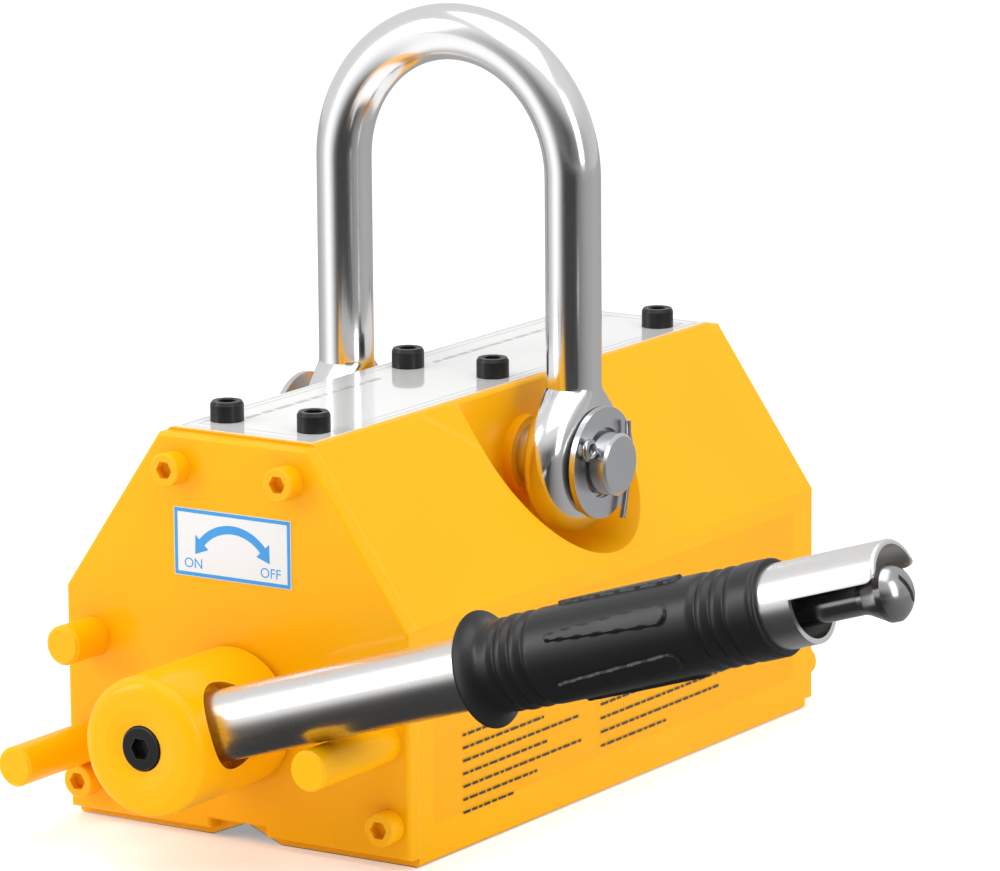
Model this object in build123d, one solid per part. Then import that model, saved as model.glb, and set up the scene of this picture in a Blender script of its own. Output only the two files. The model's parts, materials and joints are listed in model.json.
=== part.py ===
"""Permanent lifting magnet: a hand-switched magnetic lifter with a swinging shackle.

Frame: origin on the lifting face, on the V-groove's centreline, half way along the body.
+Z up, +Y from the front (lever) cover to the rear cover, +X to the right seen from the front.
All sizes in millimetres.
"""
from build123d import *
import math
import os

# ---------------------------------------------------------------- driving dimensions
# magnet body
body_length = 222.0          # between the two covers
body_width = 122.0
body_height = 122.0
top_width = 51.0             # flat on top, between the two slanted faces
shoulder_z = 71.0            # where the vertical sides meet the slanted faces
body_round = 1.5             # painted outer edges
vee_mouth = 25.0             # V-groove for round bars, along the lifting face
vee_depth = 5.0
pocket_edge = 0.4            # rounding of the pockets' edges
pole_gap = 14.0              # non-magnetic strip between the poles, below the rotor
chamber_width = 18.0         # magnet chamber between the poles, above the rotor

# covers and what closes the top
cover_thickness = 5.0
cover_foot_gap = 3.0         # cover's lower edge above the lifting face
cover_top_gap = 0.8
cover_round = 1.2
cover_notch_width = 20.0
cover_notch_depth = 3.0
top_plate_width = 45.0
top_plate_thickness = 4.0
label_thickness = 0.3
top_label_margin = 1.1       # bare edge left round the top label
switch_label_width = 41.6
switch_label_height = 20.4
switch_label_z = 89.2
side_label_length = 206.0
side_label_height = 54.0
side_label_z = 38.5

# socket-head screws: thread, head diameter, head height, hexagon across flats
M5 = (5.0, 8.5, 4.0, 4.0)
M6 = (6.0, 10.0, 6.0, 5.0)
M8_low = (8.0, 13.0, 5.0, 6.0)
top_screw_x = 15.5
top_screw_pitch = 96.0
top_screw_length = 10.0
cover_screw_length = 14.0
cover_screw_places = ((20.1, 111.1), (54.0, 12.8))   # x and z, mirrored to -x

# rotor and its bearings
rotor_z = 39.1
rotor_r = 28.0
rotor_air_gap = 0.4
rotor_flange = 8.0
rotor_magnet_width = 22.0
rotor_screw_r = 19.5         # from the rotor axis to its pole screws
rotor_screw_spread = 32.0    # degrees each side of the pole axis
rotor_screw_length = 16.0
rotor_screw_sink = 1.0       # head below the flange
rotor_screw_room = 0.25      # round the head
shaft_r = 11.0
bearing_length = 10.0
bush_wall = 2.0
thrust_washer = 1.5
thrust_washer_width = 8.0
end_play = 0.3
running = 0.05               # radial clearance of every running fit
seal_wall = 3.7
seal_clearance = 0.3

# switch lever
lever_rest_angle = 17.2      # above horizontal, to the right
lever_travel = 160.0
hub_r = 20.75
hub_length = 47.0
hub_gap = 1.0                # hub clear of the front cover
hub_round = 4.5
hub_dish_r = 12.0            # shallow dish round the hub screw
hub_dish_depth = 1.2
hub_dish_lip = 0.6           # dish floor wider than the screw head
hub_screw_depth = 0.5        # screw head below the hub's face
head_clearance = 0.3         # round a sunk screw head
lever_depth = 28.0           # lever axis in front of the front cover
lever_hole_r = 12.8          # mouth of the hub's lever hole
lever_seat_tau = 12.0        # where that mouth narrows to the tube
tube_r = 10.5
tube_wall = 2.5
lever_tail = 9.5             # tube past the hub axis
shaft_end_wall = 3.5         # hub metal between the shaft's end and the lever hole
key_size = 6.0
hub_screw_length = 40.0
root_plug_length = 39.0
sleeve_r = 12.0
sleeve_start = 190.0
sleeve_end = 248.5
sleeve_lip = 1.0             # rounding of the sleeve's outer end
sleeve_cut_start = 221.0     # the lower part is cut away from here
sleeve_cut_z = 2.4           # height of the cut above the lever's axis
sleeve_cut_corner = 3.0
tube_end = 208.0
grip_start = 111.6
grip_end = 210.8
grip_r = 13.7
grip_flange_r = 17.3
grip_neck_r = 13.0
grip_groove = 0.9            # depth of the grooves beside the rings
grip_pad = 0.6               # height of the raised pads
grip_pads_start = 141.0
grip_pads_end = 182.5
grip_ring_pitch = 4.8

# pull latch inside the lever
latch_drop_share = 0.3125    # latch axis below the lever axis, in bore radii of the tube
latch_travel = 8.0
latch_shoulder_start = 140.0
latch_shoulder_length = 10.0
latch_shoulder_room = 0.2    # between the shoulder and the tube's bore
latch_guide_start = 181.0
latch_guide_length = 10.0
knob_r = 8.0
knob_start = 237.0           # where the rod flares
knob_end = 251.6
knob_shoulder = 8.0          # from the flare to the widest place
knob_slot = 1.6
knob_slot_depth = 1.3
knob_slot_lean = 25.0        # degrees from upright
latch_spring_wire_r = 0.4
plunger_spring_wire_r = 0.6
plunger_spring_room = 6.0    # left for the closed coils
spring_clearance = 0.15      # round and inside a spring
spring_end_gap = 0.3

# stops and lock
stop_x = 52.2
stop_pin_r = 6.0
stop_pin_reach = 39.0        # out of the front cover
stop_pin_seat = 12.0         # into the pole
lever_stop_gap = 0.4
plunger_x = -51.6
plunger_z = 56.4
plunger_reach = 15.4
plunger_tail = 9.0           # behind its collar
plunger_collar_r = 7.5
plunger_collar = 3.0
plunger_travel = 8.0
collar_clearance = 0.3

# lifting pin and shackle
lift_z = 99.5
lift_pin_r = 9.5
lift_pin_chamfer = 0.8
pocket_floor_x = 26.4
pocket_r = 36.0
pocket_z = 108.6             # centre of the pocket's round end
pin_bush_r = 12.0
pin_bush_seat = 6.4          # length pressed into the pole
pin_hole_clearance = 0.3     # round the pin, inside the poles
shackle_rod_r = 8.5
shackle_half_span = 41.5     # bow's centre line
shackle_bow_z = 185.5
shackle_play = 3.2           # side play each way; the shackle rests against its right washer
eye_r = 22.2
eye_cheek = 0.2              # eye's flat faces proud of the rod
eye_flat_r = 14.5
washer_r = 17.0
washer_hole_r = 10.7
washer_thickness = 1.8
washer_clearance = 0.1
cotter_r = 1.6
cotter_clearance = 0.2
cotter_loop_r = 2.6
cotter_wire = 0.6            # wire radius as a share of the shank's
cotter_lean = 28.0           # head up at the front, degrees
cotter_head = 0.5            # loop's inner end clear of the pin
cotter_stand = 2.8           # shank past the pin, where the legs part
cotter_up_leg = 17.0         # straight up behind the pin
cotter_down_leg = 13.0
cotter_down_lean = 15.0      # lower leg bent in under the pin, degrees
pin_end_land = 4.3           # pin past the cotter's axis

# ---------------------------------------------------------------- derived places
eye_half = shackle_rod_r + eye_cheek
half_length = body_length / 2
half_width = body_width / 2
cover_face = half_length + cover_thickness
bore_r = rotor_r + rotor_air_gap
roof_z = body_height - label_thickness              # painted top, under the label
plate_floor_z = roof_z - top_plate_thickness
slope = (half_width - top_width / 2) / (body_height - shoulder_z)
lever_y = -cover_face - lever_depth
hub_back = -cover_face - hub_gap
hub_front = hub_back - hub_length
shaft_tip = lever_y + tube_r + shaft_end_wall       # shaft's front end, inside the hub
carrier_in = half_length - bearing_length           # inner face of a bearing carrier
flange_out = carrier_in - thrust_washer - end_play
flange_in = flange_out - rotor_flange
rotor_rest_turn = (180.0 - lever_travel) / 2
lever_up = math.radians(lever_rest_angle)
lever_on = math.radians(180.0 - lever_rest_angle - lever_travel)
stop_offset = tube_r + stop_pin_r + lever_stop_gap
off_stop_z = rotor_z + stop_x * math.tan(lever_up) - stop_offset / math.cos(lever_up)
on_stop_z = rotor_z + stop_x * math.tan(lever_on) - stop_offset / math.cos(lever_on)
chamber_floor_z = rotor_z + bore_r + 1.0
magnet_top_z = lift_z - lift_pin_r - 6.0
eye_out = shackle_half_span + shackle_play + eye_half
pin_bush_end = shackle_half_span - shackle_play - eye_half
washer_in = eye_out + washer_clearance
cotter_x = washer_in + washer_thickness + cotter_r + cotter_clearance
pin_end = cotter_x + pin_end_land
hub_seat_y = hub_front + hub_screw_depth + M8_low[2]
lever_frame = Pos(0, lever_y, rotor_z) * Rot(0, -lever_rest_angle, 0)
tube_bore_r = tube_r - tube_wall
latch_drop = latch_drop_share * tube_bore_r
latch_shoulder_r = tube_bore_r - latch_drop - latch_shoulder_room
latch_rod_r = tube_bore_r - latch_drop - 2 * (spring_clearance + latch_spring_wire_r)


# ---------------------------------------------------------------- helpers
def box(x0, x1, y0, y1, z0, z1):
    """Block between two corners."""
    return Pos((x0 + x1) / 2, (y0 + y1) / 2, (z0 + z1) / 2) * Box(x1 - x0, y1 - y0, z1 - z0)


def rod_x(r, x0, x1, y=0.0, z=0.0):
    """Cylinder along X."""
    return Pos((x0 + x1) / 2, y, z) * Rot(0, 90, 0) * Cylinder(r, x1 - x0)


def rod_y(r, y0, y1, x=0.0, z=0.0):
    """Cylinder along Y."""
    return Pos(x, (y0 + y1) / 2, z) * Rot(90, 0, 0) * Cylinder(r, y1 - y0)


def rod_z(r, z0, z1, x=0.0, y=0.0):
    """Cylinder along Z."""
    return Pos(x, y, (z0 + z1) / 2) * Cylinder(r, z1 - z0)


def turned(points):
    """Solid of revolution about X from (x, radius) points."""
    return revolve(make_face(Polyline(*points, close=True)), axis=Axis.X)


def along_lever(shape):
    """Place a shape drawn along X from the hub axis onto the lever."""
    return lever_frame * shape


def socket_screw(size, length):
    """Cap screw along -Z, with its seat at the origin and its socket facing +Z."""
    thread, head, head_height, flats = size
    cap = chamfer(rod_z(head / 2, 0, head_height).edges().sort_by(Axis.Z)[-1], head_height * 0.07)
    socket = extrude(RegularPolygon(flats / math.sqrt(3), 6), amount=head_height * 0.55)
    return cap + rod_z(thread / 2, -length, 0) - Pos(0, 0, head_height * 0.45) * socket


def coil(r, wire, length, turns):
    """Closed tube that stands for a coil spring along X, from the origin."""
    path = Helix(pitch=(length - 2 * wire) / turns, height=length - 2 * wire, radius=r)
    ring = Plane(origin=path @ 0, z_dir=path % 0) * Circle(wire)
    return Rot(0, 90, 0) * Pos(0, 0, wire) * sweep(ring, path=path, is_frenet=True)


def outline(top_z, foot_z, width=body_width):
    """Hexagonal end view of the body, as a face in the XZ plane."""
    side = width / 2
    top = side - slope * (top_z - shoulder_z)
    right = [(side, foot_z), (side, shoulder_z), (top, top_z)]
    left = [(-x, z) for x, z in reversed(right)]
    return make_face(Plane.XZ * Polyline(*right, *left, close=True))


def bar_y(face, y0, y1):
    """Prism along Y of a face drawn in the XZ plane."""
    return Pos(0, y1, 0) * extrude(face, amount=y1 - y0, dir=(0, -1, 0))


def mirrored(shape):
    """The shape and its image across the YZ plane."""
    return [shape, mirror(shape, about=Plane.YZ)]


def save(name, *shapes):
    """Write one node."""
    solids = [solid for shape in shapes for solid in shape.solids()]
    result = solids[0] if len(solids) == 1 else Compound(children=solids)
    result.label = name
    export_step(result, f"parts/{name}.step")


os.makedirs("parts", exist_ok=True)

# ---------------------------------------------------------------- shared cutting shapes
rotor_bore = rod_y(bore_r, -half_length - 1, half_length + 1, z=rotor_z)
vee_points = [(-vee_mouth / 2, 0), (0, vee_depth), (vee_mouth / 2, 0), (0, -vee_depth)]
vee = bar_y(make_face(Plane.XZ * Polyline(*vee_points, close=True)), -half_length - 1, half_length + 1)
cover_screw_spots = [(side * x, z) for x, z in cover_screw_places for side in (1, -1)]
top_screw_spots = [(side * top_screw_x, row * top_screw_pitch) for row in (-1, 0, 1) for side in (1, -1)]
plunger_hole_end = -half_length + plunger_collar + plunger_tail + plunger_travel + plunger_spring_room


def cover_screws(sign):
    """Four screws of one cover; sign is -1 for the front."""
    turn = Rot(90, 0, 0) if sign < 0 else Rot(-90, 0, 0)
    screw = socket_screw(M6, cover_screw_length)
    return [Pos(x, sign * cover_face, z) * turn * screw for x, z in cover_screw_spots]


# ---------------------------------------------------------------- pole shoes
def on_pocket_rim(edge):
    """True for an edge where the pocket's wall meets the slanted or the upright face."""
    spots = [edge @ share for share in (0.25, 0.5, 0.75)]
    for spot in spots:
        slanted_x = half_width - slope * (spot.Z - shoulder_z)
        in_reach = abs(spot.Y) < pocket_r + 0.01 and spot.Z > pocket_z - pocket_r - 0.01
        if not in_reach or abs(spot.X - min(half_width, slanted_x)) > 0.01:
            return False
    return True


def pole_shoe():
    """Right-hand pole, with every hole that belongs to the right side."""
    right_half = box(0, half_width, -half_length, half_length, 0, roof_z)
    solid = bar_y(outline(roof_z, 0), -half_length, half_length) & right_half
    long_edges = solid.edges().filter_by(Axis.Y)
    outer = [e for e in long_edges if (e @ 0.5).X > top_width / 2 - 3]
    solid = fillet(outer, body_round)
    solid -= box(-1, pole_gap / 2, -half_length, half_length, -1, rotor_z)
    solid -= box(-1, chamber_width / 2, -half_length, half_length, rotor_z, body_height)
    solid -= box(-1, top_plate_width / 2, -half_length, half_length, plate_floor_z, body_height)
    solid -= rotor_bore + vee
    pocket = rod_x(pocket_r, pocket_floor_x, half_width + 1, z=pocket_z)
    pocket += box(pocket_floor_x, half_width + 1, -pocket_r, pocket_r, pocket_z, body_height + 1)
    solid -= pocket
    rim = [e for e in solid.edges() if on_pocket_rim(e)]
    solid = fillet(rim, pocket_edge)
    solid -= rod_x(pin_bush_r, pocket_floor_x - pin_bush_seat, pocket_floor_x, z=lift_z)
    solid -= rod_x(lift_pin_r + pin_hole_clearance, 0, pocket_floor_x, z=lift_z)
    for row in (-1, 0, 1):
        tip = body_height - top_screw_length
        solid -= rod_z(M6[0] / 2, tip, roof_z, top_screw_x, row * top_screw_pitch)
    for x, z in cover_screw_places:
        depth = cover_screw_length - cover_thickness
        solid -= rod_y(M6[0] / 2, -half_length, -half_length + depth, x, z)
        solid -= rod_y(M6[0] / 2, half_length - depth, half_length, x, z)
    return solid


right_blank = pole_shoe()
right_shoe = right_blank - rod_y(stop_pin_r, -half_length, -half_length + stop_pin_seat, stop_x, off_stop_z)
left_shoe = mirror(right_blank, about=Plane.YZ)
left_shoe -= rod_y(stop_pin_r, -half_length, -half_length + stop_pin_seat, -stop_x, on_stop_z)
left_shoe -= rod_y(stop_pin_r + running, -half_length, plunger_hole_end, plunger_x, plunger_z)
left_shoe -= rod_y(plunger_collar_r + collar_clearance, -half_length,
                   -half_length + plunger_collar + plunger_travel + collar_clearance, plunger_x, plunger_z)
save("pole_shoe_right", right_shoe)
save("pole_shoe_left", left_shoe)

gap_bar = box(-pole_gap / 2, pole_gap / 2, -half_length, half_length, 0, rotor_z) - rotor_bore - vee
save("pole_gap_bar", gap_bar)


def chamber_block(z0, z1):
    """Block that fills the chamber between two heights."""
    return box(-chamber_width / 2, chamber_width / 2, -half_length, half_length, z0, z1)


save("fixed_magnet", chamber_block(chamber_floor_z, magnet_top_z))
spacer = chamber_block(magnet_top_z, plate_floor_z)
save("pole_spacer", spacer - rod_x(lift_pin_r + pin_hole_clearance, -half_width, half_width, z=lift_z))

# ---------------------------------------------------------------- top plate, its screws and label
top_plate = box(-top_plate_width / 2, top_plate_width / 2, -half_length, half_length, plate_floor_z, roof_z)
label_x = top_width / 2 - top_label_margin
label_y = half_length - top_label_margin
top_label = box(-label_x, label_x, -label_y, label_y, roof_z, body_height)
for x, y in top_screw_spots:
    top_plate -= rod_z(M6[0] / 2, 0, body_height, x, y)
    top_label -= rod_z(M6[0] / 2, 0, body_height + 1, x, y)
save("top_plate", top_plate)
save("top_label", top_label)
top_screw = socket_screw(M6, top_screw_length)
save("top_screws", *[Pos(x, y, body_height) * top_screw for x, y in top_screw_spots])


# ---------------------------------------------------------------- covers
def cover(sign):
    """Painted end plate, before the holes that only one end has."""
    inner, outer = sorted((sign * half_length, sign * cover_face))
    plate = bar_y(outline(roof_z - cover_top_gap, cover_foot_gap), inner, outer)
    notch_top = cover_foot_gap + cover_notch_depth
    plate -= box(-cover_notch_width / 2, cover_notch_width / 2, inner, outer, 0, notch_top)
    face_edges = plate.faces().sort_by(Axis.Y)[0 if sign < 0 else -1].edges()
    plate = fillet(face_edges, cover_round)
    for x, z in cover_screw_spots:
        plate -= rod_y(M6[0] / 2, inner, outer, x, z)
    return plate


front_cover = cover(-1)
front_cover -= rod_y(shaft_r + seal_clearance + seal_wall, -cover_face, -half_length, 0, rotor_z)
for x, z in ((stop_x, off_stop_z), (-stop_x, on_stop_z)):
    front_cover -= rod_y(stop_pin_r, -cover_face, -half_length, x, z)
front_cover -= rod_y(stop_pin_r + running, -cover_face, -half_length, plunger_x, plunger_z)
save("front_cover", front_cover)
save("rear_cover", cover(1))
save("front_cover_screws", *cover_screws(-1))
save("rear_cover_screws", *cover_screws(1))
switch_label = Box(switch_label_width, label_thickness, switch_label_height)
save("switch_label", Pos(0, -cover_face - label_thickness / 2, switch_label_z) * switch_label)
side_label = Box(label_thickness, side_label_length, side_label_height)
save("side_label", Pos(half_width + label_thickness / 2, 0, side_label_z) * side_label)


# ---------------------------------------------------------------- stops and lock plunger
def stop_pin(x, z):
    """Pin pressed through the front cover into a pole."""
    pin = rod_y(stop_pin_r, -cover_face - stop_pin_reach, -half_length + stop_pin_seat, x, z)
    return chamfer(pin.edges().sort_by(Axis.Y)[0], 0.8)


save("off_stop_pin", stop_pin(stop_x, off_stop_z))
save("on_stop_pin", stop_pin(-stop_x, on_stop_z))
plunger_back = -half_length + plunger_collar + plunger_tail
plunger = rod_y(stop_pin_r, -cover_face - plunger_reach, plunger_back, plunger_x, plunger_z)
plunger = chamfer(plunger.edges().sort_by(Axis.Y)[0], 1.0)
plunger += rod_y(plunger_collar_r, -half_length, -half_length + plunger_collar, plunger_x, plunger_z)
save("lock_plunger", plunger)
plunger_spring_start = plunger_back + plunger_travel + spring_end_gap
plunger_coil_r = stop_pin_r - 1.5
plunger_spring = coil(plunger_coil_r, plunger_spring_wire_r, plunger_hole_end - plunger_spring_start, 4)
save("plunger_spring", Pos(plunger_x, plunger_spring_start, plunger_z) * Rot(0, 0, 90) * plunger_spring)


# ---------------------------------------------------------------- bearings
def ring_y(outer_r, inner_r, end_a, end_b):
    """Ring about the rotor's axis."""
    low, high = sorted((end_a, end_b))
    return rod_y(outer_r, low, high, 0, rotor_z) - rod_y(inner_r, low, high, 0, rotor_z)


def bearing_carrier(sign):
    """Disc in the end of the rotor bore that holds one bush."""
    return ring_y(bore_r, shaft_r + running + bush_wall, sign * carrier_in, sign * half_length)


def shaft_bush(sign):
    """Bronze bush in a carrier."""
    return ring_y(shaft_r + running + bush_wall, shaft_r + running, sign * carrier_in, sign * half_length)


def rotor_washer(sign):
    """Thrust washer between a carrier and the rotor's flange."""
    width = shaft_r + thrust_washer_width
    return ring_y(width, shaft_r + seal_clearance, sign * (carrier_in - thrust_washer), sign * carrier_in)


for sign, end in ((-1, "front"), (1, "rear")):
    save(f"{end}_bearing_carrier", bearing_carrier(sign))
    save(f"{end}_shaft_bush", shaft_bush(sign))
save("thrust_washers", rotor_washer(-1), rotor_washer(1))
seal_bore_r = shaft_r + seal_clearance
save("shaft_seal", ring_y(seal_bore_r + seal_wall, seal_bore_r, -cover_face, -half_length))

# ---------------------------------------------------------------- rotor
rotor_frame = Pos(0, 0, rotor_z) * Rot(0, rotor_rest_turn, 0)
half_magnet = rotor_magnet_width / 2
magnet_reach = math.sqrt(rotor_r ** 2 - half_magnet ** 2) - 0.2


def rotor_screw_spots():
    """x and z of the screws of one flange, two on each side of both poles."""
    angles = [base + spread for base in (0, 180) for spread in (-rotor_screw_spread, rotor_screw_spread)]
    turns = [math.radians(angle) for angle in angles]
    return [(rotor_screw_r * math.cos(turn), rotor_screw_r * math.sin(turn)) for turn in turns]


rotor_screw_seat = flange_out - M5[2] - rotor_screw_sink


def rotor_screw_set(sign):
    """Four screws that hold one flange to the rotor's poles, seats at the counterbore floor."""
    turn = Rot(90, 0, 0) if sign < 0 else Rot(-90, 0, 0)
    screw = socket_screw(M5, rotor_screw_length)
    return [Pos(x, sign * rotor_screw_seat, z) * turn * screw for x, z in rotor_screw_spots()]


def rotor_screw_holes(sign):
    """Matching thread holes and counterbores."""
    holes = []
    for x, z in rotor_screw_spots():
        low, high = sorted((sign * (rotor_screw_seat - rotor_screw_length), sign * rotor_screw_seat))
        holes.append(rod_y(M5[0] / 2, low, high, x, z))
        low, high = sorted((sign * rotor_screw_seat, sign * (flange_out + 1)))
        holes.append(rod_y(M5[1] / 2 + rotor_screw_room, low, high, x, z))
    return holes


def rotor_end(sign, tip):
    """Flange and journal of one end of the rotor, journal running out to tip."""
    inner, outer = sorted((sign * flange_in, sign * flange_out))
    low, high = sorted((sign * flange_out, tip))
    solid = rod_y(rotor_r, inner, outer) + rod_y(shaft_r, low, high)
    for hole in rotor_screw_holes(sign):
        solid -= hole
    return solid


core = rod_y(rotor_r, -flange_in, flange_in)
poles = []
for side in (1, -1):
    low, high = sorted((side * half_magnet, side * (rotor_r + 1)))
    pole = core & box(low, high, -flange_in, flange_in, -rotor_r, rotor_r)
    for hole in rotor_screw_holes(-1) + rotor_screw_holes(1):
        pole -= hole
    poles.append(pole)
front_end = rotor_end(-1, shaft_tip)
key_back = hub_back - 1.0
key_low = shaft_r - key_size / 2
key_slot = box(-key_size / 2, key_size / 2, shaft_tip, key_back, key_low, key_low + key_size)
front_end -= rod_y(M8_low[0] / 2, shaft_tip, hub_seat_y + hub_screw_length)
save("rotor_front_end", rotor_frame * front_end - Pos(0, 0, rotor_z) * key_slot)
save("rotor_rear_end", rotor_frame * rotor_end(1, half_length - 0.5))
save("rotor_pole_right", rotor_frame * poles[0])
save("rotor_pole_left", rotor_frame * poles[1])
rotor_magnet = box(-half_magnet, half_magnet, -flange_in, flange_in, -magnet_reach, magnet_reach)
save("rotor_magnet", rotor_frame * rotor_magnet)
save("rotor_screws", *[rotor_frame * s for sign in (-1, 1) for s in rotor_screw_set(sign)])

# ---------------------------------------------------------------- hub
hub = rod_y(hub_r, hub_front, hub_back)
hub = fillet(hub.edges().sort_by(Axis.Y)[0], hub_round)
hub = chamfer(hub.edges().sort_by(Axis.Y)[-1], 0.6)
dish = Cone(hub_dish_r, M8_low[1] / 2 + hub_dish_lip, hub_dish_depth)
hub -= Pos(0, hub_front + hub_dish_depth / 2, 0) * Rot(-90, 0, 0) * dish
hub -= rod_y(M8_low[1] / 2 + head_clearance, hub_front - 1, hub_seat_y)
hub -= rod_y(M8_low[0] / 2, hub_seat_y, shaft_tip)
hub -= rod_y(shaft_r, shaft_tip, hub_back)
hub -= key_slot
lever_hole = rod_x(tube_r, -lever_tail, hub_r + 1) + rod_x(lever_hole_r, lever_seat_tau, hub_r + 1)
save("hub", Pos(0, 0, rotor_z) * hub - along_lever(lever_hole))
save("hub_key", Pos(0, 0, rotor_z) * key_slot)
save("hub_screw", Pos(0, hub_seat_y, rotor_z) * Rot(90, 0, 0) * socket_screw(M8_low, hub_screw_length))

# ---------------------------------------------------------------- lever tube, root plug, sleeve and grip
cross_hole = rod_y(M8_low[0] / 2, -tube_r - 1, tube_r + 1)
tube = rod_x(tube_r, -lever_tail, tube_end) - rod_x(tube_bore_r, -lever_tail, tube_end) - cross_hole
save("lever_tube", along_lever(tube))
root_plug = rod_x(tube_bore_r, -lever_tail, root_plug_length - lever_tail) - cross_hole
save("lever_root_plug", along_lever(root_plug))
sleeve = rod_x(sleeve_r, sleeve_start, sleeve_end)
sleeve = fillet(sleeve.edges().sort_by(Axis.X)[-1], sleeve_lip)
sleeve -= rod_x(tube_r, sleeve_start, sleeve_end)
corner_x = sleeve_end - sleeve_cut_corner
corner_z = sleeve_cut_z + sleeve_cut_corner
bend = sleeve_cut_corner * (1 - math.sqrt(0.5))
cut_outline = Polyline((sleeve_end, corner_z), (sleeve_end + 1, corner_z), (sleeve_end + 1, -sleeve_r - 1),
                       (sleeve_cut_start, -sleeve_r - 1), (sleeve_cut_start, sleeve_cut_z),
                       (corner_x, sleeve_cut_z))
cut_outline += ThreePointArc((corner_x, sleeve_cut_z), (sleeve_end - bend, sleeve_cut_z + bend),
                             (sleeve_end, corner_z))
sleeve -= bar_y(make_face(Plane.XZ * cut_outline), -sleeve_r - 1, sleeve_r + 1)
save("guard_sleeve", along_lever(sleeve))


def grip_rings(start, count=2):
    """Profile of the rings between grooves, from the first groove's middle."""
    points = []
    for ring in range(count):
        base = start + grip_ring_pitch * ring
        points += [(base, grip_r - grip_groove), (base + 1.0, grip_r - 0.2)]
        points += [(base + grip_ring_pitch / 2, grip_r),
                   (base + grip_ring_pitch - 1.0, grip_r - 0.2)]
    last = start + grip_ring_pitch * count
    return points + [(last, grip_r - grip_groove), (last + 1.0, grip_r - 0.2)]


front_rings = grip_start + 11.0
rear_rings = grip_end - 20.0
grip_points = [(grip_start, tube_r), (grip_start, grip_flange_r - 0.3), (grip_start + 0.4, grip_flange_r),
               (grip_start + 1.2, grip_flange_r - 0.2), (grip_start + 3.0, grip_neck_r + 1.2),
               (grip_start + 5.5, grip_neck_r), (front_rings - 1.6, grip_neck_r + 0.2)]
grip_points += grip_rings(front_rings)
grip_points += [(grip_pads_start, grip_r + grip_pad), (grip_pads_end, grip_r + grip_pad)]
grip_points += [(rear_rings - 1.0, grip_r)]
grip_points += grip_rings(rear_rings)
grip_points += [(grip_end - 1.2, grip_r - 0.2), (grip_end, grip_r - 1.0),
                (grip_end, sleeve_r), (sleeve_start, sleeve_r), (sleeve_start, tube_r)]
save("grip", along_lever(turned(grip_points)))


# ---------------------------------------------------------------- pull latch
def low_rod(r, x0, x1):
    """Cylinder on the latch axis, in the lever's frame."""
    return rod_x(r, x0, x1, 0, -latch_drop)


rod_tip = root_plug_length - lever_tail + 0.5
knob_wide = knob_start + knob_shoulder
knob_face = [
    Polyline((knob_wide, knob_r), (knob_start + 2, latch_rod_r + 0.6), (knob_start, latch_rod_r),
             (knob_start - 5, latch_rod_r), (knob_start - 5, 0), (knob_end, 0)),
    RadiusArc((knob_end, 0), (knob_wide + 2, knob_r), -(knob_r + 1.0)),
    Line((knob_wide + 2, knob_r), (knob_wide, knob_r))]
knob = revolve(make_face(Curve() + knob_face), axis=Axis.X)
slot = Box(2 * knob_slot_depth, knob_slot, 2 * knob_r)
knob -= Pos(knob_end, 0, 0) * Rot(knob_slot_lean, 0, 0) * slot
latch = low_rod(latch_rod_r, rod_tip, knob_start - 5)
latch += low_rod(latch_shoulder_r, latch_shoulder_start, latch_shoulder_start + latch_shoulder_length)
latch += Pos(0, 0, -latch_drop) * knob
save("latch_rod", along_lever(latch))
guide = rod_x(tube_bore_r, latch_guide_start, latch_guide_start + latch_guide_length)
guide -= low_rod(latch_rod_r + running, latch_guide_start, latch_guide_start + latch_guide_length)
save("latch_guide", along_lever(guide))
spring_start = latch_shoulder_start + latch_shoulder_length + latch_travel + spring_end_gap
latch_coil_r = latch_rod_r + spring_clearance + latch_spring_wire_r
latch_spring = coil(latch_coil_r, latch_spring_wire_r, latch_guide_start - spring_start, 7)
save("latch_spring", along_lever(Pos(spring_start, 0, -latch_drop) * latch_spring))

# ---------------------------------------------------------------- lifting pin, bushes, washers and cotters
lift_pin = rod_x(lift_pin_r, -pin_end, pin_end, z=lift_z)
lift_pin = chamfer(lift_pin.edges().filter_by(GeomType.CIRCLE), lift_pin_chamfer)
for x in (cotter_x, -cotter_x):
    hole = rod_y(cotter_r + cotter_clearance, -lift_pin_r - 1, lift_pin_r + 1)
    lift_pin -= Pos(x, 0, lift_z) * Rot(-cotter_lean, 0, 0) * hole
save("lifting_pin", lift_pin)
pin_bush = rod_x(pin_bush_r, pocket_floor_x - pin_bush_seat, pin_bush_end, z=lift_z)
pin_bush -= rod_x(lift_pin_r, 0, half_width, z=lift_z)
save("pin_bushes", *mirrored(pin_bush))
washer = rod_x(washer_r, washer_in, washer_in + washer_thickness, z=lift_z)
washer -= rod_x(washer_hole_r, washer_in, washer_in + washer_thickness, z=lift_z)
save("pin_washers", *mirrored(washer))


def cotter():
    """Split pin through the right end of the lifting pin, legs bent apart behind it."""
    head = lift_pin_r + cotter_head
    stand = lift_pin_r + cotter_stand
    wire_r = cotter_r * cotter_wire
    shank = rod_y(cotter_r, -head - 0.5, stand)
    shank += Pos(0, -head - cotter_loop_r, 0) * Rot(0, 90, 0) * Torus(cotter_loop_r, wire_r)
    pin = Rot(-cotter_lean, 0, 0) * shank
    lean = math.radians(cotter_lean)
    bend = Pos(0, stand * math.cos(lean), -stand * math.sin(lean))
    pin += bend * rod_z(wire_r, -wire_r, cotter_up_leg)
    pin += bend * Rot(-cotter_down_lean, 0, 0) * rod_z(wire_r, -cotter_down_leg, wire_r)
    return Pos(cotter_x, 0, lift_z) * pin


save("cotter_pins", *mirrored(cotter()))


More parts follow.
